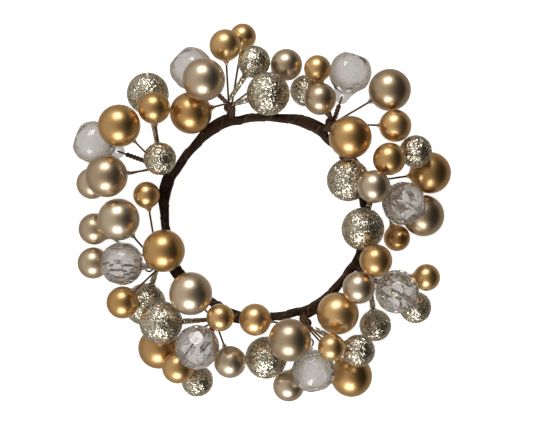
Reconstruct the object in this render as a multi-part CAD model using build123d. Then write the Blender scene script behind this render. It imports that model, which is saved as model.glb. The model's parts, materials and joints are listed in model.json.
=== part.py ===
from build123d import *
import math
import os

# Candle ring: a tape-wrapped wire hoop that carries eight sprays of berries and faceted drops.
# Sizes are in millimetres and angles in degrees. The origin is the middle of the hoop on the
# table, +Z points up, and bearings run counter-clockwise from +X, seen from above.

# Hoop and its paper wrap
RING_RADIUS = 60.0
RING_HEIGHT = 12.0
HOOP_WIRE_DIAMETER = 2.6
WRAP_DIAMETER = 5.0
WRAP_CLEARANCE = 0.05

# Berries: diameters before any glitter, and the drawn-out neck where the stem enters
LARGE = 25.0
MEDIUM = 19.0
SMALL = 16.0
GLITTER_COAT = 0.2
BERRY_GAP = 0.3
NECK_BASE_DIAMETER = 4.4
NECK_TIP_DIAMETER = 2.0
NECK_LENGTH = 2.0
STEM_HOLE_DEPTH = 6.0
STEM_HOLE_CLEARANCE = 0.05
STEM_END_CLEARANCE = 0.3

# Faceted drops: a cut ball with a flat eyelet tab that widens towards its foot in the ball
DROP = 26.0
FACETS_AROUND = 12
FACET_LATITUDES = (-52.0, -26.0, 0.0, 26.0, 52.0, 75.0)
TAB_WIDTH = 8.8
TAB_THICKNESS = 2.4
TAB_FOOT_WIDTH = 18.8
TAB_FOOT_DEPTH = 1.0
TAB_FOOT_HEIGHT = 6.2
EYE_DIAMETER = 2.4
EYE_OFFSET = 2.2

# Stems: wires in a bundle two wide and four high that leaves the hoop at a root
STEM_DIAMETER = 1.2
STEM_BEND_RADIUS = 2.0
STEM_BEND_SHARE = 0.45
BUNDLE_PITCH = 1.5
BUNDLE_COLUMNS = 2
BUNDLE_LAYERS = 4
BUNDLE_CLEARANCE = 0.1
TAIL_LENGTH = 7.0
TAIL_ROOM = 0.5
ROOT_LEAD = 1.5
STALK_LENGTH = 7.0

# Wire of a drop: twisted back on itself behind a loop through the eyelet
LOOP_RADIUS = 2.8
LOOP_WIRE_DIAMETER = 1.1
TWIST_DIAMETER = 2.0
TWIST_SHARE = 0.6

# Tape that binds each bundle to the hoop
BINDING_SETBACK = 1.8
BINDING_LENGTH = 5.6
BINDING_THICKNESS = 0.4
BINDING_CORNER = 0.8

# One spray: bearing of its root on the hoop, rise of its stalk, turn of its drop's eyelet, and
# its ornaments as finish, diameter, bearing, distance outward from the hoop and height of the
# centre. Ornaments are listed by their place in the bundle, from the lowest layer up, inner
# column first. A height of 0 stands on the table, and an empty place is None.
SPRAYS = (
    (19.0, 35.0, 90.0, (
        ("gold", SMALL, 351.0, 20.5, 0.0),
        ("champagne", LARGE, 0.5, 35.0, 0.0),
        ("crystal", DROP, 5.5, 21.5, 33.5),
        ("gold", LARGE, 15.0, 42.5, 0.0),
        ("glitter", LARGE, 353.0, -2.0, 27.5),
        ("glitter", MEDIUM, 23.5, 36.5, 29.0),
        ("champagne", MEDIUM, 15.5, 5.0, 46.2),
        ("gold", MEDIUM, 25.0, 19.5, 39.0),
    )),
    (56.0, 30.0, 90.0, (
        ("gold", MEDIUM, 35.0, 33.0, 32.0),
        ("crystal", DROP, 59.5, 40.5, 0.0),
        ("champagne", LARGE, 45.5, 45.0, 25.5),
        ("glitter", MEDIUM, 72.0, 20.0, 0.0),
        ("glitter", LARGE, 24.0, -6.5, 28.7),
        ("gold", SMALL, 70.5, 33.0, 24.0),
        ("gold", LARGE, 43.0, 8.0, 35.5),
        ("champagne", MEDIUM, 65.0, 16.5, 30.0),
    )),
    (109.0, 20.0, 90.0, (
        ("gold", SMALL, 97.0, 49.5, 0.0),
        ("gold", MEDIUM, 103.0, 44.5, 21.5),
        ("champagne", MEDIUM, 82.0, 31.5, 18.0),
        ("crystal", DROP, 116.5, 39.5, 0.0),
        ("glitter", LARGE, 88.5, 12.0, 32.5),
        ("glitter", MEDIUM, 94.0, 32.0, 23.0),
        ("champagne", LARGE, 114.0, 27.5, 36.0),
        ("gold", LARGE, 125.5, 16.0, 19.0),
    )),
    (156.0, 30.0, 90.0, (
        ("glitter", LARGE, 133.5, 42.0, 0.0),
        ("crystal", DROP, 156.5, 52.0, 0.0),
        ("gold", MEDIUM, 135.5, 31.0, 32.5),
        ("champagne", MEDIUM, 169.0, 46.0, 0.0),
        ("gold", LARGE, 148.0, 40.5, 33.0),
        None,
        ("glitter", MEDIUM, 151.0, 10.5, 30.0),
        ("champagne", LARGE, 165.5, 36.0, 30.0),
    )),
    (206.0, 20.0, 0.0, (
        ("champagne", MEDIUM, 184.0, 43.0, 0.0),
        ("champagne", MEDIUM, 195.0, 47.0, 0.0),
        ("gold", SMALL, 169.5, 11.5, 20.0),
        ("crystal", DROP, 198.0, 29.0, 25.0),
        ("champagne", LARGE, 181.0, 26.5, 24.0),
        ("glitter", LARGE, 216.0, 29.0, 0.0),
        ("gold", LARGE, 198.5, 2.5, 31.0),
        ("gold", MEDIUM, 211.0, 37.0, 33.0),
    )),
    (246.0, 40.0, 90.0, (
        ("glitter", LARGE, 225.5, 26.5, 34.5),
        ("gold", LARGE, 231.0, 41.0, 0.0),
        ("champagne", LARGE, 226.0, 1.5, 43.0),
        ("glitter", MEDIUM, 247.5, 46.5, 0.0),
        ("gold", MEDIUM, 240.0, 42.0, 29.0),
        ("champagne", MEDIUM, 256.5, 28.0, 25.0),
        ("crystal", DROP, 242.5, 24.5, 44.5),
        ("gold", SMALL, 246.0, 3.5, 43.5),
    )),
    (292.0, 35.0, 0.0, (
        ("gold", MEDIUM, 264.5, 0.5, 30.0),
        ("crystal", DROP, 287.5, 35.5, 25.0),
        ("champagne", MEDIUM, 278.0, 42.5, 0.0),
        ("gold", LARGE, 298.5, 48.5, 0.0),
        ("glitter", LARGE, 270.5, 24.0, 15.5),
        ("champagne", LARGE, 281.5, 13.0, 37.5),
        ("gold", SMALL, 297.0, 25.0, 38.5),
        ("glitter", MEDIUM, 305.0, 36.0, 29.0),
    )),
    (332.0, 25.0, 70.0, (
        ("crystal", DROP, 330.5, 29.0, 30.0),
        ("glitter", MEDIUM, 315.5, 33.0, 0.0),
        None,
        ("glitter", MEDIUM, 329.0, 45.5, 0.0),
        ("gold", LARGE, 307.0, 11.5, 23.5),
        ("gold", SMALL, 339.5, 42.5, 20.0),
        ("champagne", MEDIUM, 323.0, 8.5, 34.5),
        ("gold", MEDIUM, 338.5, 9.0, 40.5),
    )),
)

UP = Vector(0, 0, 1)


class Ornament:
    """One berry or drop, with its place in a spray and its centre."""

    def __init__(self, spray, slot, finish, diameter, bearing, outward, height):
        self.spray = spray
        self.slot = slot
        self.finish = finish
        self.radius = diameter / 2 + (GLITTER_COAT if finish == "glitter" else 0.0)
        self.outward = outward
        self.spot = Vector(RING_RADIUS + outward, 0, 0).rotate(Axis.Z, bearing)
        self.height = max(height, self.radius)

    def clear_of(self, spot_distance, other_radius, other_height):
        """Raise the centre until it clears something below it."""
        reach = self.radius + other_radius + BERRY_GAP
        if spot_distance < reach:
            self.height = max(self.height, other_height + math.sqrt(reach**2 - spot_distance**2))

    def centre(self):
        return self.spot + UP * self.height


def settled_ornaments():
    """All ornaments, from the table up, each lifted clear of the hoop and of those below it."""
    listed = [
        Ornament(number, slot, *row)
        for number, spray in enumerate(SPRAYS)
        for slot, row in enumerate(spray[-1])
        if row
    ]
    listed.sort(key=lambda ornament: ornament.height)
    placed = []
    for ornament in listed:
        ornament.clear_of(abs(ornament.outward), WRAP_DIAMETER / 2, RING_HEIGHT)
        for lower in placed:
            ornament.clear_of((ornament.spot - lower.spot).length, lower.radius, lower.height)
        placed.append(ornament)
    return placed


def stalk_corners(spray, slot):
    """Start of a stem's tail under the tape, its bend off the hoop and the end of the stalk."""
    root_bearing, rise = spray[0], math.radians(spray[1])
    outward = Vector(1, 0, 0).rotate(Axis.Z, root_bearing)
    along = outward.rotate(Axis.Z, -90)
    stalk = outward * math.cos(rise) + UP * math.sin(rise)
    middle = outward * (RING_RADIUS + bundle_middle()) + UP * RING_HEIGHT
    column = slot % BUNDLE_COLUMNS - (BUNDLE_COLUMNS - 1) / 2
    layer = slot // BUNDLE_COLUMNS - (BUNDLE_LAYERS - 1) / 2
    start = middle + (outward * column + UP * layer) * BUNDLE_PITCH
    mitre = (along + stalk).normalized()
    run = (middle + along * ROOT_LEAD - start).dot(mitre) / along.dot(mitre)
    bend = start + along * run
    return start - along * TAIL_LENGTH, bend, bend + stalk * STALK_LENGTH


def bundle_middle():
    """Distance from the hoop's centreline to the middle of the bundle beside it."""
    return WRAP_DIAMETER / 2 + BUNDLE_CLEARANCE + BUNDLE_PITCH * BUNDLE_COLUMNS / 2


def bend_radius(before, corner, after):
    """Radius of a stem's bend, limited by the shorter of its two runs."""
    turn = math.radians((corner - before).get_angle(after - corner))
    shorter = min((corner - before).length, (after - corner).length)
    return min(STEM_BEND_RADIUS, STEM_BEND_SHARE * shorter / math.tan(turn / 2))


def stem(points):
    """Round wire through the points, with each corner bent to a radius."""
    radii = [bend_radius(*points[k:k + 3]) for k in range(len(points) - 2)]
    path = FilletPolyline(*points, radius=radii)
    section = Plane(origin=points[0], z_dir=points[1] - points[0]) * Circle(STEM_DIAMETER / 2)
    return sweep(section, path=path)


def berry(radius):
    """Ball with a drawn-out neck and a blind stem hole along +Z."""
    neck_base = NECK_BASE_DIAMETER / 2
    hole = STEM_DIAMETER / 2 + STEM_HOLE_CLEARANCE
    shoulder = math.sqrt(radius**2 - neck_base**2)
    tip = radius + NECK_LENGTH
    floor = radius - STEM_HOLE_DEPTH
    ball = ThreePointArc((0, -radius), (radius, 0), (neck_base, shoulder))
    neck = Polyline(
        (neck_base, shoulder),
        (NECK_TIP_DIAMETER / 2, tip),
        (hole, tip),
        (hole, floor),
        (0, floor),
        (0, -radius),
    )
    return revolve(Plane.XZ * make_face([ball, neck]), Axis.Z)


def drop():
    """Faceted ball with a flat table at its foot and an eyelet tab at the top, eye along X."""
    radius = DROP / 2
    corners = []
    for ring, latitude in enumerate(FACET_LATITUDES):
        level = math.radians(latitude)
        for step in range(FACETS_AROUND):
            around = math.radians(360 * (step + ring % 2 / 2) / FACETS_AROUND)
            corners.append((
                radius * math.cos(level) * math.cos(around),
                radius * math.cos(level) * math.sin(around),
                radius * math.sin(level),
            ))
    eye_height = radius + EYE_OFFSET
    foot = Pos(0, TAB_FOOT_HEIGHT - eye_height) * Rectangle(TAB_FOOT_WIDTH, TAB_FOOT_DEPTH)
    shape = make_hull([*Circle(TAB_WIDTH / 2).edges(), *foot.edges()]) - Circle(EYE_DIAMETER / 2)
    upright = Plane(origin=(0, 0, eye_height), x_dir=(0, 1, 0), z_dir=(1, 0, 0))
    tab = extrude(upright * shape, amount=TAB_THICKNESS / 2, both=True)
    return ConvexPolyhedron(corners) + tab


def eyelet_plane(ornament, stalk_end, turn):
    """Plane at a drop's centre with +Z to the stalk and +X along the eye."""
    neck = (stalk_end - ornament.centre()).normalized()
    level = UP.cross(neck).normalized()
    eye = level * math.cos(math.radians(turn)) + neck.cross(level) * math.sin(math.radians(turn))
    return Plane(origin=ornament.centre(), x_dir=eye, z_dir=neck)


def drop_wire(corners, plane):
    """Wire of a drop: tail, stalk, twisted run and the loop through the eye."""
    eye = plane.origin + plane.z_dir * (DROP / 2 + EYE_OFFSET)
    loop_middle = eye + plane.z_dir * LOOP_RADIUS
    loop_end = loop_middle + plane.z_dir * LOOP_RADIUS
    loop = Plane(origin=loop_middle, z_dir=plane.y_dir) * Torus(LOOP_RADIUS, LOOP_WIRE_DIAMETER / 2)
    twist_length = (corners[-1] - loop_end).length * TWIST_SHARE
    section = Plane(origin=loop_end, z_dir=plane.z_dir) * Circle(TWIST_DIAMETER / 2)
    return stem([*corners, loop_end]) + extrude(section, amount=twist_length) + loop


def binding(root_bearing):
    """Tape round the hoop and the tails of a bundle, from the root backwards along the hoop."""
    hoop_hole = Circle(WRAP_DIAMETER / 2 + WRAP_CLEARANCE)
    width = BUNDLE_PITCH * BUNDLE_COLUMNS + TAIL_ROOM
    height = BUNDLE_PITCH * BUNDLE_LAYERS
    tails = RectangleRounded(width, height, BINDING_CORNER)
    tails = Pos(bundle_middle() + TAIL_ROOM / 2, 0) * tails
    inside = make_hull([*hoop_hole.edges(), *tails.edges()])
    tape = offset(inside, amount=BINDING_THICKNESS) - inside
    section = Plane.XZ * Pos(RING_RADIUS, RING_HEIGHT) * tape
    arc = math.degrees(BINDING_LENGTH / RING_RADIUS)
    setback = math.degrees(BINDING_SETBACK / RING_RADIUS)
    return revolve(section, Axis.Z, revolution_arc=arc).rotate(Axis.Z, root_bearing + setback)


def hoop_wire():
    """Closed steel hoop inside the wrap."""
    return Pos(0, 0, RING_HEIGHT) * Torus(RING_RADIUS, HOOP_WIRE_DIAMETER / 2)


def hoop_wrap():
    """Paper tape wound round the hoop."""
    inside = HOOP_WIRE_DIAMETER / 2 + WRAP_CLEARANCE
    section = Circle(WRAP_DIAMETER / 2) - Circle(inside)
    return revolve(Plane.XZ * Pos(RING_RADIUS, RING_HEIGHT) * section, Axis.Z)


def spray_pieces(number, ornaments):
    """Pieces of one spray, as lists of solids by name."""
    spray = SPRAYS[number]
    pieces = {"binding": [binding(spray[0])]}
    for ornament in ornaments:
        corners = stalk_corners(spray, ornament.slot)
        centre = ornament.centre()
        if ornament.finish == "crystal":
            plane = eyelet_plane(ornament, corners[-1], spray[2])
            pieces["crystal"] = [plane * drop()]
            pieces["crystal_wire"] = [drop_wire(corners, plane)]
        else:
            neck = (corners[-1] - centre).normalized()
            end = centre + neck * (ornament.radius - STEM_HOLE_DEPTH + STEM_END_CLEARANCE)
            ball = Plane(origin=centre, z_dir=neck) * berry(ornament.radius)
            pieces.setdefault(ornament.finish + "_berries", []).append(ball)
            pieces.setdefault("stems", []).append(stem([*corners, end]))
    return pieces


def write_node(name, solids):
    """Write one node, which is a solid or a group of separate solids."""
    shape = Compound([solid for piece in solids for solid in piece.solids()])
    shape.label = name
    export_step(shape, os.path.join("parts", name + ".step"))


os.makedirs("parts", exist_ok=True)
write_node("hoop_wire", [hoop_wire()])
write_node("hoop_wrap", [hoop_wrap()])
everything = settled_ornaments()
for index in range(len(SPRAYS)):
    own = [ornament for ornament in everything if ornament.spray == index]
    for piece_name, solids in spray_pieces(index, own).items():
        write_node(f"spray_{index + 1}_{piece_name}", solids)
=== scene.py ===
# %% [markdown]
# # A candle ring of berries and cut drops
# The object is a tape-wrapped wire hoop that lies round the foot of a pillar candle. Sprays of satin,
# pearl and glitter berries and clear faceted drops stand out of it on bent wire stems.
# The measured solids are loaded first and stay where they are. This lesson dresses them: each cell
# makes one kind of piece or one finish, and says how the real one is made.

# %% Load the measured solids
import json
import math
import random

import bmesh
import bpy
import numpy as np
from mathutils import Matrix, Vector, noise


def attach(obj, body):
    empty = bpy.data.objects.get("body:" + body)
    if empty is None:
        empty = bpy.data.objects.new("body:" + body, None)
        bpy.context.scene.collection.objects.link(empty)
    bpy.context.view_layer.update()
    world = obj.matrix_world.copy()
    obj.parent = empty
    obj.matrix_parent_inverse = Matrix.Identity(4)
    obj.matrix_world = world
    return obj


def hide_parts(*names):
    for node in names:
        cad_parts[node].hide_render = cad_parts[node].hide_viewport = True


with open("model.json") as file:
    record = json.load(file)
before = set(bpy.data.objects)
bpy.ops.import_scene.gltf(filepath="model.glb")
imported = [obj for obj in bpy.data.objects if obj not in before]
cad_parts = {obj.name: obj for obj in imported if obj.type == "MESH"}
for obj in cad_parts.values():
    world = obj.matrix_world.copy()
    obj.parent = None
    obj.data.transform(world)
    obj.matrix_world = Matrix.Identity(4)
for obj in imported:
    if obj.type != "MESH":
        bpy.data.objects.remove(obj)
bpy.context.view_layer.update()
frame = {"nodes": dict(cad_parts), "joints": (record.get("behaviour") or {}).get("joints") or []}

MM = 0.001

# %% [markdown]
# ## The camera
# The photograph looks straight down on the ring from a little under a metre. A long lens at that height
# gives the same small change of size between high and low berries. The picture is taken to be
# 533 by 440 pixels, and the hoop's middle lies a little to the left of and above the picture's middle.

# %% Camera
CAMERA_PLACE = (0.0009, -0.0018, 0.812)
CAMERA_LENS = 90.06
CAMERA_SENSOR = 36.0
CAMERA_NEAR = 0.02

camera = bpy.data.objects.new("camera", bpy.data.cameras.new("camera"))
camera.data.sensor_width = CAMERA_SENSOR
camera.data.lens = CAMERA_LENS
camera.data.clip_start = CAMERA_NEAR
camera.location = CAMERA_PLACE
bpy.context.scene.collection.objects.link(camera)
bpy.context.scene.camera = camera
print("camera looks down from", CAMERA_PLACE[2], "m")

# %% [markdown]
# ## The studio
# Two soft boxes stand at the top and the bottom of the picture, a little to the left. They give every
# berry its two soft lights, one above the other. Small lamps would give hard points of light instead.

# %% Soft boxes
SOFTBOX_SIZE = (0.50, 0.40)
SOFTBOXES = {"back_softbox": (-0.14, 0.78, 0.62), "front_softbox": (-0.12, -0.80, 0.50)}
SOFTBOX_POWER = 4.6
AIM = Vector((0.0, 0.0, 0.02))

for name, place in SOFTBOXES.items():
    light = bpy.data.objects.new(name, bpy.data.lights.new(name, "AREA"))
    light.data.shape = "RECTANGLE"
    light.data.size, light.data.size_y = SOFTBOX_SIZE
    light.data.energy = SOFTBOX_POWER
    light.location = place
    light.rotation_euler = (AIM - Vector(place)).to_track_quat("-Z", "Y").to_euler()
    bpy.context.scene.collection.objects.link(light)
print("studio:", ", ".join(SOFTBOXES))

# %% [markdown]
# ### The room
# The berries mirror the room, so it needs light and dark parts. It is dim on the right, which leaves a
# dark patch there. Below, it is grey and brightens straight underfoot. Its dim parts are warm, as a
# room is. Walls could be built, but a world that is coloured by direction does the same with no faces.

# %% Room light
ROOM_LEFT, ROOM_RIGHT = 0.52, 0.01
ROOM_LOW, ROOM_FOOT = 0.30, 0.66
SIDES_SPAN = (-0.75, 0.68)
HORIZON_SPAN = (-0.35, 0.15)
FOOT_SPAN = (-1.0, -0.72)
WARM_LEVEL, WARM_COLOUR = 0.30, (0.335, 0.29, 0.235)


def set_sockets(node, values):
    """Set inputs of a node by their names."""
    for socket, value in values.items():
        node.inputs[socket].default_value = value


def ranged(tree, source, first, last, start=0.0, end=1.0, kind="LINEAR"):
    """Value that goes from first to last while the source goes from start to end."""
    node = tree.nodes.new("ShaderNodeMapRange")
    node.interpolation_type = kind
    set_sockets(node, {"From Min": start, "From Max": end, "To Min": first, "To Max": last})
    tree.links.new(source, node.inputs["Value"])
    return node.outputs[0]


world = bpy.data.worlds.new("room")
bpy.context.scene.world = world
world.use_nodes = True
room = world.node_tree
direction = room.nodes.new("ShaderNodeTexCoord")
parts = room.nodes.new("ShaderNodeSeparateXYZ")
room.links.new(direction.outputs["Generated"], parts.inputs[0])
sides = ranged(room, parts.outputs["X"], ROOM_LEFT, ROOM_RIGHT, *SIDES_SPAN, "SMOOTHSTEP")
horizon = ranged(room, parts.outputs["Z"], 0.0, 1.0, *HORIZON_SPAN, "SMOOTHSTEP")
foot = ranged(room, parts.outputs["Z"], ROOM_FOOT, ROOM_LOW, *FOOT_SPAN, "SMOOTHSTEP")
level = room.nodes.new("ShaderNodeMix")
room.links.new(horizon, level.inputs["Factor"])
room.links.new(foot, level.inputs["A"])
room.links.new(sides, level.inputs["B"])
# A new ramp goes from black to white, and the warm colour goes in between.
warmth = room.nodes.new("ShaderNodeValToRGB")
warmth.color_ramp.elements.new(WARM_LEVEL).color = (*WARM_COLOUR, 1.0)
room.links.new(level.outputs["Result"], warmth.inputs["Fac"])
room.links.new(warmth.outputs["Color"], room.nodes["Background"].inputs["Color"])
bpy.context.scene.view_settings.view_transform = "Standard"
print("room: from", ROOM_LEFT, "on the left to", ROOM_RIGHT, "on the right")

# %% [markdown]
# ### The white sheet
# In the photograph the ring lies on pure white, yet the berries show no white below them: it was cut out
# and set on white. A glowing white sheet gives that ground. It is kept out of reflections and of what is
# seen through the clear drops, so that both show the grey room, as they do in the photograph.

# %% Floor
FLOOR_HALF = 3.0
FLOOR_DROP = 0.0002
FLOOR_GLOW = 0.90
FLOOR_GLOW_COLOUR = (1.0, 0.995, 0.985, 1.0)
PAPER_DEEP, PAPER_BRIGHT = (0.86, 0.86, 0.86), (0.90, 0.90, 0.90)


def new_finish(name):
    """A material, its node tree and its main shader."""
    material = bpy.data.materials.new(name)
    material.use_nodes = True
    return material, material.node_tree, material.node_tree.nodes["Principled BSDF"]


def paint(tree, shader, source, deep, bright, start=0.0, end=1.0):
    """Colour the shader from deep to bright while the source goes from start to end."""
    tone = tree.nodes.new("ShaderNodeValToRGB")
    low, high = tone.color_ramp.elements
    low.position, high.position = start, end
    low.color, high.color = (*deep, 1.0), (*bright, 1.0)
    tree.links.new(source, tone.inputs["Fac"])
    tree.links.new(tone.outputs["Color"], shader.inputs["Base Color"])
    return tone


floor_mesh = bpy.data.meshes.new("floor")
corners = [(FLOOR_HALF * x, FLOOR_HALF * y, -FLOOR_DROP) for x, y in ((-1, -1), (1, -1), (1, 1), (-1, 1))]
floor_mesh.from_pydata(corners, [], [(0, 1, 2, 3)])
floor = bpy.data.objects.new("floor", floor_mesh)
bpy.context.scene.collection.objects.link(floor)
paper, tree, shader = new_finish("white_sheet")
shader.inputs["Roughness"].default_value = 0.9
set_sockets(shader, {"Emission Strength": FLOOR_GLOW, "Emission Color": FLOOR_GLOW_COLOUR})
grain = tree.nodes.new("ShaderNodeTexNoise")
grain.inputs["Scale"].default_value = 4.0
paint(tree, shader, grain.outputs["Fac"], PAPER_DEEP, PAPER_BRIGHT)
floor_mesh.materials.append(paper)
floor.visible_glossy = False
floor.visible_transmission = False
print("floor", 2 * FLOOR_HALF, "m wide")

# %% [markdown]
# ## Reading the solids
# Alike berries share one node, so the mesh of a node is taken apart into its separate solids. A ball is
# then fitted to the points of each berry. The neck, where the stem goes in, is the point that stands
# furthest from the middle. That gives the place of every berry without a list of numbers.

# %% Take the nodes apart
POINT_GRID = 1e-6


def node_points(node):
    """Points of a node's mesh, merged where they coincide, and its triangles."""
    mesh = frame["nodes"][node].data
    places = np.empty(len(mesh.vertices) * 3, np.float32)
    mesh.vertices.foreach_get("co", places)
    mesh.calc_loop_triangles()
    triangles = np.empty(len(mesh.loop_triangles) * 3, np.int32)
    mesh.loop_triangles.foreach_get("vertices", triangles)
    rounded = np.round(places.reshape(-1, 3) / POINT_GRID).astype(np.int64)
    merged, index = np.unique(rounded, axis=0, return_inverse=True)
    return merged * POINT_GRID, index.reshape(-1)[triangles].reshape(-1, 3)


def solids_of(node):
    """The points of each separate solid in a node."""
    points, triangles = node_points(node)
    label = np.arange(len(points))
    while True:
        before = label.copy()
        lowest = label[triangles].min(axis=1)
        for corner in range(3):
            np.minimum.at(label, triangles[:, corner], lowest)
        label = label[label]
        if (label == before).all():
            return [points[label == value] for value in np.unique(label)]


SPRAYS = range(1, 9)
print("solids in the stems of spray 1:", len(solids_of("spray_1_stems")))

# %% Find the berries
FIT_ROUNDS = 8
FIT_SLACK = 0.03 * MM
FIT_SHARE = 0.6
TIP_SLACK = 0.05 * MM
FINISHES = ("gold", "champagne", "glitter")


def fit_ball(points):
    """Centre and radius of the ball that most of the points lie on."""
    on_ball = points
    for _ in range(FIT_ROUNDS):
        system = np.c_[2 * on_ball, np.ones(len(on_ball))]
        answer = np.linalg.lstsq(system, (on_ball**2).sum(axis=1), rcond=None)[0]
        centre = answer[:3]
        radius = math.sqrt(answer[3] + centre @ centre)
        off = np.abs(np.linalg.norm(points - centre, axis=1) - radius)
        on_ball = points[off <= max(FIT_SLACK, np.quantile(off, FIT_SHARE))]
    return Vector(centre), radius


class Berry:
    """One berry: its spray and node, its middle and radius, and its place with the neck along Z."""

    def __init__(self, spray, finish, count, points):
        self.spray = spray
        self.node = f"spray_{spray}_{finish}_berries"
        self.name = f"spray_{spray}_{finish}_berry_{count}"
        self.middle, self.radius = fit_ball(points)
        reach = np.linalg.norm(points - np.array(self.middle), axis=1)
        tip = points[reach > reach.max() - TIP_SLACK].mean(axis=0)
        neck = (Vector(tip) - self.middle).normalized()
        self.place = Matrix.Translation(self.middle) @ neck.to_track_quat("Z", "Y").to_matrix().to_4x4()


berries = {finish: [] for finish in FINISHES}
for spray in SPRAYS:
    for finish in FINISHES:
        for count, points in enumerate(solids_of(f"spray_{spray}_{finish}_berries"), 1):
            berries[finish].append(Berry(spray, finish, count, points))
for finish in FINISHES:
    sizes = sorted({round(2 * b.radius / MM, 1) for b in berries[finish]})
    print(finish, len(berries[finish]), "berries, diameters", sizes)

# %% [markdown]
# ### Pieces and bodies
# The drops swing and the rest of the ring stays still, so every piece has to know the body that it moves
# with. A parent object for each body would do that too. Here one helper links the piece and tells its body
# and its finish, and so no piece can miss them. It also names the solid that the piece stands for, if any.

# %% Add a piece to the ring
def add_piece(name, mesh, body, slot_name, material, *stands_for):
    """Link a mesh as a piece that rides on a body and takes its finish; slot_name is not used."""
    piece = bpy.data.objects.new(name, mesh)
    bpy.context.scene.collection.objects.link(piece)
    mesh.materials.append(material)
    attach(piece, body)
    if stands_for:
        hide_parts(*stands_for)
    return piece


# %% [markdown]
# ## Satin berries
# A satin berry is a plastic ball with a drawn-out neck, sprayed with metallic lacquer. Its profile could
# be a sphere with a cone on it, but on the real ball the lacquer rounds the change into the neck. So one
# outline, with a soft curve into the neck and a lip round the stem, is turned about the neck's line.

# %% Berry outline
NECK_FOOT = 3.7 * MM
NECK_TIP = 1.0 * MM
NECK_LENGTH = 2.0 * MM
NECK_BEND = 1.2
LIP_SHARE = 0.85
LIP_RISE = 0.12 * MM
STEM_HOLE = 0.66 * MM
HOLE_DEPTH = 1.2 * MM
BALL_STEPS = 30
NECK_STEPS = 7


def berry_outline(radius):
    """Distance from the neck's line and height, from the foot of the ball to the stem hole."""
    turn = math.asin(NECK_FOOT / radius)
    outline = []
    for step in range(1, BALL_STEPS + 1):
        angle = math.pi - (math.pi - turn) * step / BALL_STEPS
        outline.append((radius * math.sin(angle), radius * math.cos(angle)))
    foot = Vector(outline[-1])
    lean = Vector((-math.cos(turn), math.sin(turn)))
    bend = foot + lean * ((NECK_FOOT - NECK_BEND * NECK_TIP) / math.cos(turn))
    lip = radius + NECK_LENGTH
    tip = Vector((NECK_TIP, lip))
    for step in range(1, NECK_STEPS + 1):
        t = step / NECK_STEPS
        outline.append(tuple((1 - t) ** 2 * foot + 2 * t * (1 - t) * bend + t**2 * tip))
    outline += [(LIP_SHARE * NECK_TIP, lip + LIP_RISE), (STEM_HOLE, lip), (STEM_HOLE, lip - HOLE_DEPTH)]
    return outline


print("outline of the first gold berry:", len(berry_outline(berries["gold"][0].radius)), "points")

# %% Turn an outline
TURN_STEPS = 64


def band_faces(rings, sides, first=0):
    """Faces between rings of points, ring after ring, from the first point on."""
    faces = []
    for ring in range(rings - 1):
        low = first + ring * sides
        high = low + sides
        for side in range(sides):
            after = (side + 1) % sides
            faces.append((low + side, low + after, high + after, high + side))
    return faces


def turned_mesh(name, outline, foot, top, place):
    """Closed mesh of an outline turned about Z, with a point at the foot and at the top."""
    points = [(0.0, 0.0, foot)]
    for distance, height in outline:
        for step in range(TURN_STEPS):
            angle = 2 * math.pi * step / TURN_STEPS
            points.append((distance * math.cos(angle), distance * math.sin(angle), height))
    points.append((0.0, 0.0, top))
    faces = band_faces(len(outline), TURN_STEPS, 1)
    last = len(points) - 1
    rim = last - TURN_STEPS
    for step in range(TURN_STEPS):
        after = (step + 1) % TURN_STEPS
        faces.append((0, 1 + after, 1 + step))
        faces.append((rim + step, rim + after, last))
    mesh = bpy.data.meshes.new(name)
    mesh.from_pydata(points, [], faces)
    mesh.transform(place)
    mesh.shade_smooth()
    return mesh


print("outlines are turned in", TURN_STEPS, "steps")

# %% [markdown]
# ### The satin lacquer
# The lacquer is a metallic paint with a thin clear coat. A metal of middling roughness gives the broad
# soft light, and a coat the small bright middle of it. Faint clouds in colour and roughness and a very
# fine grain keep the ball from looking like a computed one, and each ball is a little lighter or deeper
# than the next. Gold and champagne differ in colour only.

# %% Satin finishes
SATIN_SLOTS = {"gold": "gold_satin", "champagne": "champagne_pearl"}
SATIN_COLOURS = {
    "gold": ((0.66, 0.40, 0.155), (0.86, 0.57, 0.265)),
    "champagne": ((0.57, 0.44, 0.29), (0.70, 0.58, 0.43)),
}
SATIN_ROUGHNESS, SATIN_CLOUD = 0.37, 0.04
BATCH_SHARE = 0.55


def speckle(tree, scale, detail=2.0):
    """Noise over a piece, in the piece's own coordinates."""
    place = tree.nodes.new("ShaderNodeTexCoord")
    texture = tree.nodes.new("ShaderNodeTexNoise")
    set_sockets(texture, {"Scale": scale, "Detail": detail})
    tree.links.new(place.outputs["Object"], texture.inputs["Vector"])
    return texture


def add_bumps(tree, shader, height, strength, depth):
    """Let the shader's surface rise and fall with a height."""
    bump = tree.nodes.new("ShaderNodeBump")
    set_sockets(bump, {"Strength": strength, "Distance": depth})
    tree.links.new(height, bump.inputs["Height"])
    tree.links.new(bump.outputs["Normal"], shader.inputs["Normal"])


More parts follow.
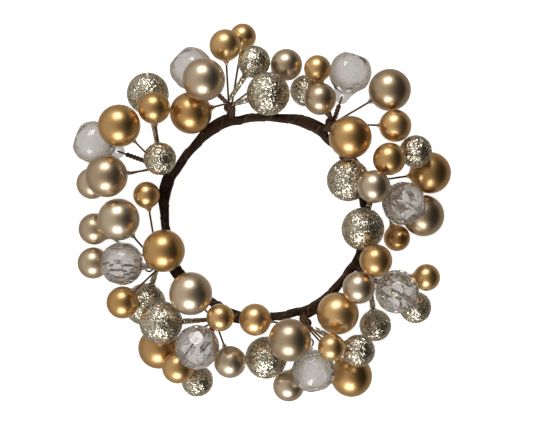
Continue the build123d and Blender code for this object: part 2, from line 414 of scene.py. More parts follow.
def satin_finish(name, deep, bright):
    """Metallic lacquer that clouds between two colours."""
    material, tree, shader = new_finish(name)
    set_sockets(shader, {"Metallic": 1.0, "Coat Weight": 0.6, "Coat Roughness": 0.22})
    clouds = speckle(tree, scale=160.0, detail=4.0).outputs["Fac"]
    batch = tree.nodes.new("ShaderNodeObjectInfo")
    mix = tree.nodes.new("ShaderNodeMix")
    mix.inputs["Factor"].default_value = BATCH_SHARE
    tree.links.new(clouds, mix.inputs["A"])
    tree.links.new(batch.outputs["Random"], mix.inputs["B"])
    paint(tree, shader, mix.outputs["Result"], deep, bright, start=0.3, end=0.7)
    dullness = ranged(tree, clouds, SATIN_ROUGHNESS - SATIN_CLOUD, SATIN_ROUGHNESS + SATIN_CLOUD)
    tree.links.new(dullness, shader.inputs["Roughness"])
    grain = speckle(tree, scale=2600.0).outputs["Fac"]
    add_bumps(tree, shader, grain, strength=0.06, depth=0.05 * MM)
    return material


for finish, slot_name in SATIN_SLOTS.items():
    material = satin_finish(slot_name, *SATIN_COLOURS[finish])
    for berry in berries[finish]:
        top = berry.radius + NECK_LENGTH - HOLE_DEPTH
        mesh = turned_mesh(berry.name, berry_outline(berry.radius), -berry.radius, top, berry.place)
        add_piece(berry.name, mesh, "ring", slot_name, material, berry.node)
    print(finish, "berries turned:", len(berries[finish]))

# %% [markdown]
# ## Glitter berries
# These balls are rolled in coarse glitter. Loose flakes could be scattered over a ball, but that leaves
# thousands of stray faces. Here the ball itself is made of flakes: points spread evenly over it are
# joined into one closed skin, then each is pushed in by up to 0.4 mm, so that each small face tips its
# own way and flashes by itself. A number on each face says how bright its flake is.

# %% Glitter skin
FLAKE = 0.78 * MM
FLAKE_TIP = 0.19 * MM
FLAKE_ROW = 0.866
FLAKE_NUDGE = 0.3
NECK_CURVE = 1.5
GOLDEN_ANGLE = math.pi * (3.0 - math.sqrt(5.0))


def colour_flakes(mesh, draw):
    """Give every face its own number from 0 to 1."""
    tint = mesh.attributes.new("flake_tint", "FLOAT", "FACE")
    tint.data.foreach_set("value", [draw.random() for _ in mesh.polygons])


def glitter_ball(berry, draw):
    """Closed skin of flakes over a ball and its neck."""
    count = int(4 * math.pi * berry.radius**2 / (FLAKE_ROW * FLAKE**2))
    spread = FLAKE / berry.radius
    form = bmesh.new()
    for step in range(count):
        height = 1 - 2 * (step + 0.5) / count
        flat = math.sqrt(1 - height**2)
        angle = GOLDEN_ANGLE * step
        point = Vector((flat * math.cos(angle), flat * math.sin(angle), height))
        nudge = Vector([draw.uniform(-1, 1) for _ in range(3)]) * FLAKE_NUDGE * spread
        form.verts.new((point + nudge).normalized())
    bmesh.ops.convex_hull(form, input=form.verts)
    for vert in form.verts:
        distance = math.hypot(vert.co.x, vert.co.y) * berry.radius
        neck = max(0.0, 1 - distance / NECK_FOOT) if vert.co.z > 0 else 0.0
        vert.co *= berry.radius + NECK_LENGTH * neck**NECK_CURVE + draw.uniform(-2 * FLAKE_TIP, 0)
    mesh = bpy.data.meshes.new(berry.name)
    form.to_mesh(mesh)
    form.free()
    mesh.transform(berry.place)
    mesh.shade_flat()
    colour_flakes(mesh, draw)
    return mesh


print("flakes are about", round(FLAKE / MM, 2), "mm across")

# %% [markdown]
# ### Glitter flakes
# The flakes are cut from metal-coated film, silver to pale gold. One metal for all would look like
# crumpled foil. Here the number on each face picks its colour and its polish, so dull, dark flakes lie
# beside bright ones, and fine specks break up each face.

# %% Glitter finish
FLAKE_SHADE, FLAKE_BRIGHT = (0.08, 0.065, 0.04), (0.96, 0.94, 0.88)
FLAKE_BETWEEN = ((0.28, (0.42, 0.37, 0.26)), (0.6, (0.72, 0.67, 0.54)))
GLITTER_SEED = 7


def glitter_finish():
    """Metal flakes between silver and pale gold, some of them in shade."""
    material, tree, shader = new_finish("silver_glitter")
    shader.inputs["Metallic"].default_value = 1.0
    flake = tree.nodes.new("ShaderNodeAttribute")
    flake.attribute_name = "flake_tint"
    tone = paint(tree, shader, flake.outputs["Fac"], FLAKE_SHADE, FLAKE_BRIGHT)
    for position, colour in FLAKE_BETWEEN:
        tone.color_ramp.elements.new(position).color = (*colour, 1.0)
    dullness = ranged(tree, flake.outputs["Fac"], first=0.38, last=0.16)
    tree.links.new(dullness, shader.inputs["Roughness"])
    place = tree.nodes.new("ShaderNodeTexCoord")
    specks = tree.nodes.new("ShaderNodeTexVoronoi")
    specks.inputs["Scale"].default_value = 2400.0
    tree.links.new(place.outputs["Object"], specks.inputs["Vector"])
    add_bumps(tree, shader, specks.outputs["Distance"], strength=0.5, depth=0.12 * MM)
    return material


glitter = glitter_finish()
draw = random.Random(GLITTER_SEED)
for berry in berries["glitter"]:
    mesh = glitter_ball(berry, draw)
    add_piece(berry.name, mesh, "ring", "silver_glitter", glitter, berry.node)
print("glitter berries:", len(berries["glitter"]), "last has", len(mesh.polygons), "flakes")

# %% [markdown]
# ### Where the sprays start
# Each spray has a root on the hoop. There its stems lie beside the hoop in a bundle, bend outwards and
# rise as one stalk before they part. The next pieces follow that line, so it is worked out once from the
# bearing of the root and the rise of the stalk, both in degrees.

# %% Root lines
RING_RADIUS = 60.0 * MM
RING_HEIGHT = 12.0 * MM
BUNDLE_MIDDLE = 4.1 * MM
ROOT_LEAD = 1.5 * MM
STALK_LENGTH = 7.0 * MM
ROOT_BEARINGS = (19.0, 56.0, 109.0, 156.0, 206.0, 246.0, 292.0, 332.0)
STALK_RISES = (35.0, 30.0, 20.0, 30.0, 20.0, 40.0, 35.0, 25.0)
UP = Vector((0.0, 0.0, 1.0))


def root_lines(spray):
    """Outward, along and stalk lines of a spray's root, and the bend of its bundle."""
    bearing, rise = math.radians(ROOT_BEARINGS[spray - 1]), math.radians(STALK_RISES[spray - 1])
    outward = Vector((math.cos(bearing), math.sin(bearing), 0.0))
    along = Vector((math.sin(bearing), -math.cos(bearing), 0.0))
    stalk = outward * math.cos(rise) + UP * math.sin(rise)
    bend = outward * (RING_RADIUS + BUNDLE_MIDDLE) + UP * RING_HEIGHT + along * ROOT_LEAD
    return outward, along, stalk, bend


print("roots:", len(ROOT_BEARINGS))

# %% [markdown]
# ### Glitter on the stems
# The glue runs down the stem before the ball is rolled, so the stem of a glitter berry is thick with
# glitter too. A tapering skin of the same flakes goes round its straight stretch, most of the way to the
# place where the stems of the spray part.

# %% Glitter sleeves
COAT_RADIUS = (1.9 * MM, 1.4 * MM)
COAT_START = 0.6
COAT_SHARE = 0.8
COAT_SIDES = 9
COAT_JITTER = 0.25
COAT_DIP, COAT_STAND = -1.2, 0.4


def glitter_sleeve(berry, draw):
    """Closed tapering skin of flakes on the stem behind a berry."""
    _, _, stalk, bend = root_lines(berry.spray)
    parting = bend + stalk * STALK_LENGTH
    start = berry.radius + COAT_START * NECK_LENGTH
    length = COAT_SHARE * ((parting - berry.middle).length - start)
    steps = max(3, round(length / FLAKE))
    points = []
    for step in range(steps + 1):
        share = step / steps
        thick = COAT_RADIUS[0] + (COAT_RADIUS[1] - COAT_RADIUS[0]) * share
        for side in range(COAT_SIDES):
            angle = 2 * math.pi * (side + step / 2 + draw.uniform(-COAT_JITTER, COAT_JITTER)) / COAT_SIDES
            far = thick + draw.uniform(COAT_DIP, COAT_STAND) * FLAKE_TIP
            height = start + length * share + draw.uniform(-COAT_JITTER, COAT_JITTER) * FLAKE
            points.append((far * math.cos(angle), far * math.sin(angle), height))
    faces = [tuple(reversed(range(COAT_SIDES)))]
    for step in range(steps):
        low, high = step * COAT_SIDES, (step + 1) * COAT_SIDES
        for side in range(COAT_SIDES):
            after = (side + 1) % COAT_SIDES
            faces.append((low + side, low + after, high + side))
            faces.append((low + after, high + after, high + side))
    faces.append(tuple(range(steps * COAT_SIDES, (steps + 1) * COAT_SIDES)))
    mesh = bpy.data.meshes.new(berry.name + "_stem")
    mesh.from_pydata(points, [], faces)
    mesh.transform(berry.place)
    mesh.shade_flat()
    colour_flakes(mesh, draw)
    return mesh


for berry in berries["glitter"]:
    add_piece(berry.name + "_stem", glitter_sleeve(berry, draw), "ring", "silver_glitter", glitter)
print("glitter sleeves:", len(berries["glitter"]))

# %% [markdown]
# ## Stems
# The stems are thin wires with a skin of brown paper. They could be drawn again as curves, but their
# solids have the right shape and stay. They get a dull brown finish, mottled and with the fine roughness
# of paper.

# %% Brown wire finish
WIRE_DEEP, WIRE_BRIGHT = (0.050, 0.023, 0.010), (0.190, 0.095, 0.045)


def brown_finish(name, deep, bright, roughness, scale, bump_depth):
    """Dull brown paper that varies between two colours, with fine bumps."""
    material, tree, shader = new_finish(name)
    shader.inputs["Roughness"].default_value = roughness
    fibres = speckle(tree, scale, detail=8.0)
    fibres.inputs["Roughness"].default_value = 0.65
    paint(tree, shader, fibres.outputs["Fac"], deep, bright, start=0.35, end=0.72)
    add_bumps(tree, shader, fibres.outputs["Fac"], strength=0.6, depth=bump_depth)
    return material


def dress(node, material):
    """Give a carried-over node a finish."""
    mesh = frame["nodes"][node].data
    mesh.materials.clear()
    mesh.materials.append(material)


brown_wire = brown_finish(
    "brown_wire", WIRE_DEEP, WIRE_BRIGHT, roughness=0.42, scale=700.0, bump_depth=0.15 * MM
)
for spray in SPRAYS:
    dress(f"spray_{spray}_stems", brown_wire)
    dress(f"spray_{spray}_crystal_wire", brown_wire)
print("stems dressed:", len(SPRAYS), "sprays")

# %% [markdown]
# ### The steel hoop
# A closed hoop of steel wire keeps the ring round. The tape hides it, so its solid stays and gets a plain
# grey steel with the mottling of drawn wire.

# %% Steel hoop inside the wrap
STEEL_DEEP, STEEL_BRIGHT = (0.30, 0.29, 0.28), (0.46, 0.45, 0.44)

steel, tree, shader = new_finish("hoop_steel")
set_sockets(shader, {"Metallic": 1.0, "Roughness": 0.4})
drawn = tree.nodes.new("ShaderNodeTexNoise")
drawn.inputs["Scale"].default_value = 900.0
paint(tree, shader, drawn.outputs["Fac"], STEEL_DEEP, STEEL_BRIGHT)
dress("hoop_wire", steel)
print("hoop wire dressed, hidden in the wrap")

# %% [markdown]
# ## The tape on the hoop
# Waxed brown paper tape is wound round the hoop on a long slant, over the ends of the stems. The ring is
# thicker where a bundle of stem ends lies beside the hoop, from each root backwards. A round tube of one
# thickness would miss that, so the section is a rounded box that widens, squares up and moves outwards
# with the bundle.

# %% Section of the wrap
WRAP_RADIUS = 2.3 * MM
DEEPEST_DIP = 0.44 * MM
BUNDLE_START, BUNDLE_FULL, BUNDLE_END = -3.5, 7.2, 28.0
BUNDLE_SHIFT, BUNDLE_WIDER, BUNDLE_HIGHER = 2.1 * MM, 1.2 * MM, 1.0 * MM
ROUND = 2.0
BUNDLE_SQUARER = 1.6


def smooth(value):
    """Ease from 0 to 1."""
    value = min(max(value, 0.0), 1.0)
    return value * value * (3 - 2 * value)


def eased(value, start, end):
    """Ease from 0 to 1 while a value goes from start to end."""
    return smooth((value - start) / (end - start))


def bundle_share(bearing):
    """How much of a bundle lies beside the hoop at a bearing, from 0 to 1."""
    share = 0.0
    for root in ROOT_BEARINGS:
        beyond = (bearing - root + 180) % 360 - 180
        if beyond < 0:
            share = max(share, eased(beyond, BUNDLE_START, 0.0))
        else:
            share = max(share, eased(beyond, BUNDLE_END, BUNDLE_FULL))
    return share


def rounded_box(angle, half_width, half_height, squareness):
    """Point on a rounded box, from round at squareness 2 to nearly square above 4."""
    c, s = math.cos(angle), math.sin(angle)
    power = 2 / squareness
    across = math.copysign(abs(c) ** power, c) * half_width
    return across, math.copysign(abs(s) ** power, s) * half_height


def wrap_point(bearing, angle, lift):
    """Point on the wrapped hoop at a bearing in degrees and an angle round its section."""
    share = bundle_share(bearing)
    # Beside a bundle the wrap moves off the steel, so it may sink less there and the steel stays covered.
    lift = max(lift, -DEEPEST_DIP * (1 - share))
    half_width = WRAP_RADIUS + BUNDLE_WIDER * share + lift
    half_height = WRAP_RADIUS + BUNDLE_HIGHER * share + lift
    across, up = rounded_box(angle, half_width, half_height, ROUND + BUNDLE_SQUARER * share)
    radius = RING_RADIUS + BUNDLE_SHIFT * share + across
    turn = math.radians(bearing)
    return Vector((radius * math.cos(turn), radius * math.sin(turn), RING_HEIGHT + up))


widest = WRAP_RADIUS + BUNDLE_WIDER
print("wrap: from", round(2 * WRAP_RADIUS / MM, 1), "to", round(2 * widest / MM, 1), "mm wide")

# %% [markdown]
# ### Turns of tape
# Each turn lies on the turn before, so its edge stands up by the thickness of the tape. The skin is a
# ring whose rows of faces follow the slant, so that the edge is a clean line. Noise that closes on itself
# crumples the tape and sways its edges. A number on each point says how pale the paper is there, from
# rubbed wear and a painted highlight on the raised edges and streaks.

# %% Tape-wrapped hoop
TAPE_TURNS = 26
TAPE_SHARES = (0.0, 0.025, 0.10, 0.22, 0.36, 0.50, 0.64, 0.78, 0.90, 0.97)
SECTION_STEPS = 48
TAPE_EDGE, EDGE_CURVE = 0.45 * MM, 0.8
TAPE_SWAY, SWAY_GRAIN = 0.12, (1.2, 0.9)
CRUMPLE, CRUMPLE_GRAIN = 0.22 * MM, (1.6, 2.6)
FINE_CRUMPLE, FINE_GRAIN = 0.6, 2.7
STREAK, STREAK_GRAIN, STREAK_SLANT = 0.16 * MM, (5.0, 0.7), 0.6
# Paler raised edges and streaks: rubbed wear and a painted highlight.
RUB_LIT_SHARE, RUB_LIT_GRAIN = 0.06, 1.4
STREAK_RUB_AND_LIGHT, STREAK_START = 0.8, 0.12


def ring_spot(along, angle, around, lengthwise):
    """Place in a noise that closes on itself round the section and round the hoop."""
    turn = 2 * math.pi * along / TAPE_TURNS
    reach = lengthwise * TAPE_TURNS / (2 * math.pi) + around * math.cos(angle)
    return Vector((reach * math.cos(turn), reach * math.sin(turn), around * math.sin(angle)))


def taped_mesh(name, points, faces, rub_and_highlight):
    """Smooth mesh with a number on each point for the tape's rubbed wear and painted highlight."""
    mesh = bpy.data.meshes.new(name)
    mesh.from_pydata(points, [], faces)
    mesh.attributes.new("tape_edge", "FLOAT", "POINT").data.foreach_set("value", rub_and_highlight)
    mesh.shade_smooth()
    return mesh


def wrap_mesh():
    """Closed ring of slanted tape turns."""
    per_turn = len(TAPE_SHARES)
    columns = TAPE_TURNS * per_turn
    points, rub_and_highlight = [], []
    for column in range(columns):
        turn, share = column // per_turn, TAPE_SHARES[column % per_turn]
        for step in range(SECTION_STEPS):
            along = turn + share + step / SECTION_STEPS
            angle = 2 * math.pi * step / SECTION_STEPS
            spot = ring_spot(along, angle, *CRUMPLE_GRAIN)
            crumple = noise.noise(spot) + FINE_CRUMPLE * noise.noise(spot * FINE_GRAIN)
            streak = noise.noise(ring_spot(along, angle + STREAK_SLANT * along, *STREAK_GRAIN))
            lift = TAPE_EDGE * (1 - share) ** EDGE_CURVE + CRUMPLE * crumple + STREAK * streak
            sway = TAPE_SWAY * noise.noise(ring_spot(along, angle, *SWAY_GRAIN))
            points.append(wrap_point(360 * (along + sway) / TAPE_TURNS, angle, lift))
            # Raised turn edges and streaks get paler: rubbed wear and a painted highlight.
            rubbed_and_lit = max(0.0, 1 - share / RUB_LIT_SHARE) * smooth(0.5 + noise.noise(spot * RUB_LIT_GRAIN))
            rub_and_highlight.append(rubbed_and_lit + STREAK_RUB_AND_LIGHT * max(0.0, streak - STREAK_START))
    faces = []
    for column in range(columns):
        for step in range(SECTION_STEPS):
            above = (step + 1) % SECTION_STEPS
            shift = per_turn if above == 0 else 0
            here = column * SECTION_STEPS + step
            beside = (column + 1) % columns * SECTION_STEPS + step
            up = (column + shift) % columns * SECTION_STEPS + above
            up_beside = (column + 1 + shift) % columns * SECTION_STEPS + above
            faces.append((here, beside, up_beside, up))
    return taped_mesh("hoop_tape", points, faces, rub_and_highlight)


hoop_skin = wrap_mesh()
print("hoop tape:", TAPE_TURNS, "turns,", len(hoop_skin.polygons), "faces")

# %% [markdown]
# ### Waxed paper
# The tape is nearly black, with paler paper where its raised edges and streaks are rubbed and a highlight
# is painted on them. It could be one brown, but then the turns vanish from above. The brown of the stems,
# made darker and duller, is mixed with a paler colour of wear and painted highlight by the number on each
# point.

# %% Tape finish
TAPE_DEEP, TAPE_BRIGHT = (0.0065, 0.0022, 0.0008), (0.066, 0.031, 0.015)
# Pale colour of rubbed paper and of a painted highlight on the tape's raised edges.
TAPE_RUBBED_AND_LIT = (0.17, 0.098, 0.058, 1.0)


def tape_finish():
    """Waxed paper tape, nearly black, paler along its edges from wear and a painted highlight."""
    material = brown_finish(
        "brown_tape", TAPE_DEEP, TAPE_BRIGHT, roughness=0.62, scale=330.0, bump_depth=0.4 * MM
    )
    tree = material.node_tree
    shader = tree.nodes["Principled BSDF"]
    shader.inputs["Specular IOR Level"].default_value = 0.18
    # The number on each point mixes in the pale colour of wear and painted highlight.
    rub_and_highlight = tree.nodes.new("ShaderNodeAttribute")
    rub_and_highlight.attribute_name = "tape_edge"
    rubbed_and_lit = tree.nodes.new("ShaderNodeMix")
    rubbed_and_lit.data_type = "RGBA"
    rubbed_and_lit.inputs["B"].default_value = TAPE_RUBBED_AND_LIT
    brown = shader.inputs["Base Color"].links[0].from_socket
    tree.links.new(rub_and_highlight.outputs["Fac"], rubbed_and_lit.inputs["Factor"])
    tree.links.new(brown, rubbed_and_lit.inputs["A"])
    tree.links.new(rubbed_and_lit.outputs["Result"], shader.inputs["Base Color"])
    return material


tape = tape_finish()
add_piece("hoop_tape", hoop_skin, "ring", "brown_tape", tape, "hoop_wrap")
print("hoop wrapped in", tape.name)

# %% [markdown]
# ## The taped stalks
# At each root the tape goes on a little way up the bundle of stems before they fan out. It is drawn so
# tight that the stems show through as slanting ridges, paler on top from wear and a painted highlight. The
# sleeve is a rounded box with ridges, drawn along the bundle's bend. The bundle turns as it bends, so the
# box turns with it.

# %% Stalk sleeves
SLEEVE_TAIL = 3.0 * MM
SLEEVE_REACH = 7.4 * MM
SLEEVE_HALF = (2.5 * MM, 3.6 * MM)
SLEEVE_SQUARENESS = 3.0
SLEEVE_SPREAD, SPREAD_SPAN = 0.14, (0.35, 0.85)
SLEEVE_CLOSE, CLOSE_SPAN = 0.2, (0.9, 1.0)
SLEEVE_RIDGES, SLEEVE_TWIST = 9, 1.6
SLEEVE_RIDGE, SLEEVE_SINK = 0.3 * MM, 0.6
# Paler ridge tops: wear and a painted highlight.
SLEEVE_RUB_AND_LIGHT, RUB_AND_LIGHT_SPAN = 0.95, (0.0, 0.4)
ROUGH_ALONG, ROUGH_APART, ROUGH_AROUND = 5, 9, 2
SLEEVE_STEPS = 30
SLEEVE_SIDES = 72


def stalk_sleeve(spray):
    """Tape round the bundle of a root, from beside the hoop to where the stems part."""
    outward, along, stalk, corner = root_lines(spray)
    rise = math.radians(STALK_RISES[spray - 1])
    over = UP * math.cos(rise) - outward * math.sin(rise)
    start, end = corner - along * SLEEVE_TAIL, corner + stalk * SLEEVE_REACH
    wide = (outward, -along * math.cos(rise) - over * math.sin(rise))
    high = (UP, -along * math.sin(rise) + over * math.cos(rise))
    points, rub_and_highlight = [], []
    for step in range(SLEEVE_STEPS + 1):
        t = step / SLEEVE_STEPS
        middle = (1 - t) ** 2 * start + 2 * t * (1 - t) * corner + t**2 * end
        turn = smooth(t)
        across = (wide[0] * (1 - turn) + wide[1] * turn).normalized()
        upward = (high[0] * (1 - turn) + high[1] * turn).normalized()
        spread = 1 + SLEEVE_SPREAD * eased(t, *SPREAD_SPAN) - SLEEVE_CLOSE * eased(t, *CLOSE_SPAN)
        half_width, half_height = SLEEVE_HALF[0] * spread, SLEEVE_HALF[1] * spread
        for side in range(SLEEVE_SIDES):
            angle = 2 * math.pi * side / SLEEVE_SIDES
            ridge = 0.5 + 0.5 * math.cos(SLEEVE_RIDGES * angle + 2 * math.pi * SLEEVE_TWIST * t)
            around = ROUGH_AROUND * Vector((math.cos(angle), math.sin(angle)))
            rough = noise.noise(Vector((t * ROUGH_ALONG + spray * ROUGH_APART, *around)))
            lift = SLEEVE_RIDGE * (2 * ridge - SLEEVE_SINK * (1 - rough))
            a, b = rounded_box(angle, half_width + lift, half_height + lift, SLEEVE_SQUARENESS)
            points.append(middle + across * a + upward * b)
            # Ridge tops grow paler along the stalk: wear and a painted highlight.
            rub_and_highlight.append(SLEEVE_RUB_AND_LIGHT * eased(t, *RUB_AND_LIGHT_SPAN) * ridge)
    faces = band_faces(SLEEVE_STEPS + 1, SLEEVE_SIDES)
    faces.append(tuple(reversed(range(SLEEVE_SIDES))))
    faces.append(tuple(range(SLEEVE_STEPS * SLEEVE_SIDES, (SLEEVE_STEPS + 1) * SLEEVE_SIDES)))
    return taped_mesh(f"spray_{spray}_stalk_tape", points, faces, rub_and_highlight)


for spray in SPRAYS:
    name = f"spray_{spray}_stalk_tape"
    add_piece(name, stalk_sleeve(spray), "ring", "brown_tape", tape, f"spray_{spray}_binding")
print("stalk sleeves:", len(SPRAYS))

# %% [markdown]
# ## Cut drops
# A drop is a clear acrylic ball, moulded with uneven flat facets, a broad table at its foot and a broad
# flat ear at the top for the wire. The facets come from cutting: planes that graze the ball at slightly
# different depths take slices off it, row by row, each row turned by half a facet against the last. The
# small bits of skin that are left between the flats sparkle like the worn corners of the mould.

# %% Cut a drop
FACET_ROWS = ((-62.0, 11), (-36.0, 8), (-8.0, 8), (21.0, 8), (50.0, 7))
FACET_SWAY = 5.0
TURN_SWAY = 0.12
DROP_RADIUS = 13.0 * MM
DEEP_CUT, SHALLOW_CUT = 12.15 * MM, 12.75 * MM
TABLE_CUT = 10.4 * MM
CUT_SLACK = 1e-7
SMALLEST_EDGE = 0.05 * MM
FACET_SEED = 11


def slice_off(form, normal, distance):
    """Cut away what lies beyond a plane and close the cut."""
    cut = bmesh.ops.bisect_plane(
        form,
        geom=[*form.verts, *form.edges, *form.faces],
        dist=CUT_SLACK,
        plane_co=normal * distance,
        plane_no=normal,
        clear_outer=True,
    )
    rim = [e for e in cut["geom_cut"] if isinstance(e, bmesh.types.BMEdge)]
    if rim:
        bmesh.ops.contextual_create(form, geom=rim)


def facing(latitude, turn):
    """Direction at a latitude and a turn, both in degrees."""
    level, bearing = math.radians(latitude), math.radians(turn)
    flat = math.cos(level)
    return Vector((flat * math.cos(bearing), flat * math.sin(bearing), math.sin(level)))


def cut_drop():
    """Faceted ball about the origin, its table below and its crown above."""
    chance = random.Random(FACET_SEED)
    form = bmesh.new()
    bmesh.ops.create_icosphere(form, subdivisions=3, radius=DROP_RADIUS)
    slice_off(form, -UP, TABLE_CUT)
    for row, (latitude, count) in enumerate(FACET_ROWS):
        for step in range(count):
            level = latitude + chance.uniform(-FACET_SWAY, FACET_SWAY)
            turn = 360 * (step + row % 2 / 2 + chance.uniform(-TURN_SWAY, TURN_SWAY)) / count
            slice_off(form, facing(level, turn), chance.uniform(DEEP_CUT, SHALLOW_CUT))
    bmesh.ops.remove_doubles(form, verts=form.verts, dist=SMALLEST_EDGE)
    bmesh.ops.recalc_face_normals(form, faces=form.faces)
    return form


print("flats on a drop:", 1 + sum(count for _, count in FACET_ROWS))

# %% [markdown]
# ### The ear
# The ear is moulded in one with the ball. It is round about the eye and widens and thickens down to a
# foot inside the crown. A flat plate with a hole cut by a tool would leave a hard step at the foot, so
# its rim is given by a formula round the eye, and four bands of faces join rim and eye.

# %% Ear with the eye
EAR_RIM = 4.4 * MM
EAR_HALF_THICKNESS = 1.2 * MM
EAR_FOOT_WIDTH = 9.4 * MM
EAR_FOOT_THICKNESS = 3.4 * MM
EAR_FOOT_HEIGHT = 6.2 * MM
EAR_FLARE = 60.0
EYE_RADIUS = 1.2 * MM
EYE_HEIGHT = 15.2 * MM
EAR_STEPS = 40


def ear_outline(angle):
    """Half thickness, width and height of the ear's rim, seen from the eye at an angle."""
    below = max(0.0, -math.degrees(math.asin(math.sin(angle))))
    if below == 0.0:
        return EAR_HALF_THICKNESS, EAR_RIM * math.cos(angle), EYE_HEIGHT + EAR_RIM * math.sin(angle)
    down = min(1.0, below / EAR_FLARE)
    width = EAR_RIM + (EAR_FOOT_WIDTH - EAR_RIM) * down
    width *= min(1.0, (90 - below) / (90 - EAR_FLARE))
    thickness = EAR_HALF_THICKNESS + (EAR_FOOT_THICKNESS - EAR_HALF_THICKNESS) * down
    height = EYE_HEIGHT + (EAR_FOOT_HEIGHT - EYE_HEIGHT) * down
    return thickness, math.copysign(width, math.cos(angle)), height


def make_ear():
    """Flat ear with a round eye along X, widening towards a foot inside the crown."""
    form = bmesh.new()
    loops = {key: [] for key in ((-1, 0), (-1, 1), (1, 0), (1, 1))}
    for step in range(EAR_STEPS):
        angle = 2 * math.pi * step / EAR_STEPS
        thickness, width, height = ear_outline(angle)
        hole = (EYE_RADIUS * math.cos(angle), EYE_HEIGHT + EYE_RADIUS * math.sin(angle))
        for side in (-1, 1):
            loops[side, 0].append(form.verts.new((side * thickness, width, height)))
            loops[side, 1].append(form.verts.new((side * EAR_HALF_THICKNESS, *hole)))
    for step in range(EAR_STEPS):
        after = (step + 1) % EAR_STEPS
        for a, b in (((1, 0), (1, 1)), ((1, 1), (-1, 1)), ((-1, 1), (-1, 0)), ((-1, 0), (1, 0))):
            form.faces.new((loops[a][step], loops[a][after], loops[b][after], loops[b][step]))
    bmesh.ops.recalc_face_normals(form, faces=form.faces)
    return form


def moulded_drop():
    """Ball and ear joined to one closed skin, so that no wall is left inside the clear body."""
    halves = []
    for name, form in (("ball", cut_drop()), ("ear", make_ear())):
        mesh = bpy.data.meshes.new(name)
        form.to_mesh(mesh)
        form.free()
        half = bpy.data.objects.new(name, mesh)
        bpy.context.collection.objects.link(half)
        halves.append(half)
    join = halves[0].modifiers.new("join", "BOOLEAN")
    join.operation = "UNION"
    join.solver = "EXACT"
    join.object = halves[1]
    graph = bpy.context.evaluated_depsgraph_get()
    joined = bpy.data.meshes.new_from_object(halves[0].evaluated_get(graph))
    for half in halves:
        bpy.data.meshes.remove(half.data)
    return joined


mould = moulded_drop()
print("moulded drop:", len(mould.polygons), "faces")

# %% [markdown]
# ### Clear acrylic
# Acrylic bends light a little less than glass. A faint grey in the body is painted shade, darkening the
# drops as the darker things seen through them would; with a haze in patches it gives the soft, pale look
# of moulded drops, and a trace of waviness keeps the facets from being perfect mirrors.
# A weak clear coat gives the small sharp lights.

# %% Acrylic finish
# Grey tint of the body: painted shade for the darker things seen through the drops.
ACRYLIC_SHADE_DEEP, ACRYLIC_SHADE_BRIGHT = (0.7, 0.68, 0.665), (0.95, 0.94, 0.93)
HAZE_ROUGHNESS = 0.26
HAZE_SPAN = (0.44, 0.6)


def acrylic_finish():
    """Clear moulded plastic with a trace of haze and a grey tint of painted shade."""
    material, tree, shader = new_finish("clear_acrylic")
    set_sockets(shader, {"Transmission Weight": 0.93, "IOR": 1.49})
    set_sockets(shader, {"Coat Weight": 0.35, "Coat Roughness": 0.03})
    haze = speckle(tree, scale=220.0, detail=5.0).outputs["Fac"]
    # The grey tint is painted shade, and it varies with the haze noise.
    paint(tree, shader, haze, ACRYLIC_SHADE_DEEP, ACRYLIC_SHADE_BRIGHT)
    dullness = ranged(tree, haze, 0.0, HAZE_ROUGHNESS, *HAZE_SPAN)
    tree.links.new(dullness, shader.inputs["Roughness"])
    add_bumps(tree, shader, haze, strength=0.08, depth=0.2 * MM)
    return material


acrylic = acrylic_finish()
print("finish:", acrylic.name)

# %% [markdown]
# ### Hanging the drops
# Every drop comes from the same mould and hangs from its own wire loop. The joint of the drop gives the
# eye and the line that it swings about, and the ball that is fitted to its solid gives the middle. A copy
# of the moulded drop is set on these and rides on the body that swings.

# %% Hang the drops
TAB_REACH = 12.0 * MM

swings = {joint["child"]: joint for joint in frame["joints"]}
drop_lines = {}
for spray in SPRAYS:
    joint = swings[f"crystal_{spray}"]
    eye, eye_line = Vector(joint["pos_m"]), Vector(joint["axis"]).normalized()
    points, _ = node_points(f"spray_{spray}_crystal")
    beyond_tab = np.linalg.norm(points - np.array(eye), axis=1) > TAB_REACH
    middle, radius = fit_ball(points[beyond_tab])
    neck = (eye - middle).normalized()
    upright = Matrix((eye_line, neck.cross(eye_line), neck)).transposed().to_4x4()
    drop_lines[spray] = (eye, neck, eye_line)
    name = f"spray_{spray}_drop"
    mesh = mould.copy()
    mesh.name = name
    mesh.transform(Matrix.Translation(middle) @ upright)
    mesh.shade_flat()
    add_piece(name, mesh, f"crystal_{spray}", "clear_acrylic", acrylic, f"spray_{spray}_crystal")
print("drops hung:", len(SPRAYS), "of radius", round(radius / MM, 2), "mm")

# %% [markdown]
# ## Twisted wire behind each drop
# The wire goes through the eye and is twisted back on itself. The solid there is one plain rod, so two
# strands are wound round the rod's line, half a turn apart. They run half as far again as the rod,
# towards the place where the stems part. The rod's end is the ring of its points that is found most often.

# %% Twisted strands
LOOP_RADIUS = 2.8 * MM
ROD_RADIUS = 1.0 * MM
ROD_SLACK = 0.02 * MM
ROD_START = 0.5 * MM
ROD_DIGITS = 5
STRAND_RADIUS = 0.78 * MM
STRAND_OFFSET = 0.78 * MM
STRAND_STEP = 0.3 * MM
STRAND_SIDES = 10
TWIST_PITCH = 4.2 * MM
TWIST_REACH = 1.5


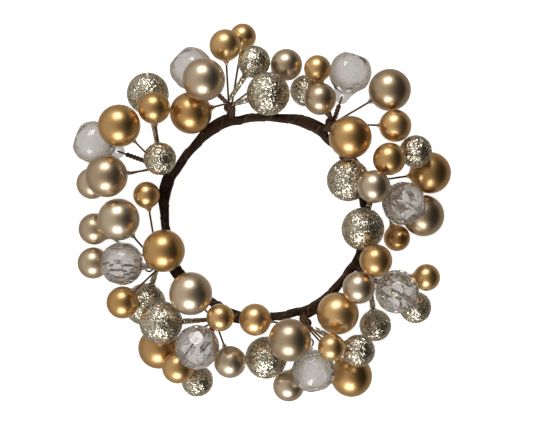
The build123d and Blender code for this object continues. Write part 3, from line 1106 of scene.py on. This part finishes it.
def tube_mesh(name, lines, radius):
    """Round closed tubes along lines of points."""
    form = bmesh.new()
    for line in lines:
        rings = []
        for number, spot in enumerate(line):
            ahead = (line[min(number + 1, len(line) - 1)] - line[max(number - 1, 0)]).normalized()
            if number == 0:
                side = ahead.orthogonal().normalized()
            else:
                side = (side - ahead * side.dot(ahead)).normalized()
            over = ahead.cross(side)
            rings.append([
                form.verts.new(spot + (side * math.cos(a) + over * math.sin(a)) * radius)
                for a in (2 * math.pi * s / STRAND_SIDES for s in range(STRAND_SIDES))
            ])
        for low, high in zip(rings, rings[1:]):
            for s in range(STRAND_SIDES):
                after = (s + 1) % STRAND_SIDES
                form.faces.new((low[s], low[after], high[after], high[s]))
        form.faces.new(tuple(reversed(rings[0])))
        form.faces.new(tuple(rings[-1]))
    mesh = bpy.data.meshes.new(name)
    form.to_mesh(mesh)
    form.free()
    mesh.shade_smooth()
    return mesh


def rod_length(spray, start, neck):
    """Length of the plain rod behind a drop's loop."""
    points, _ = node_points(f"spray_{spray}_crystal_wire")
    ahead = (points - np.array(start)) @ np.array(neck)
    beside = np.linalg.norm(points - np.array(start) - np.outer(ahead, np.array(neck)), axis=1)
    on_rod = (np.abs(beside - ROD_RADIUS) < ROD_SLACK) & (ahead > ROD_START)
    ends, counts = np.unique(np.round(ahead[on_rod], ROD_DIGITS), return_counts=True)
    return ends[counts.argmax()]


def strand_lines(spray):
    """Two lines wound round the line of the rod, half a turn apart."""
    eye, neck, eye_line = drop_lines[spray]
    start = eye + neck * 2 * LOOP_RADIUS
    length = TWIST_REACH * rod_length(spray, start, neck)
    steps = max(8, int(length / STRAND_STEP))
    over = neck.cross(eye_line)
    lines = []
    for half in (0.0, math.pi):
        line = []
        for step in range(steps + 1):
            far = length * step / steps
            angle = half + 2 * math.pi * far / TWIST_PITCH
            outwards = eye_line * math.cos(angle) + over * math.sin(angle)
            line.append(start + neck * far + outwards * STRAND_OFFSET)
        lines.append(line)
    return lines


for spray in SPRAYS:
    name = f"spray_{spray}_wire_twist"
    mesh = tube_mesh(name, strand_lines(spray), STRAND_RADIUS)
    add_piece(name, mesh, "ring", "brown_wire", brown_wire)
print("twisted wires:", len(SPRAYS))
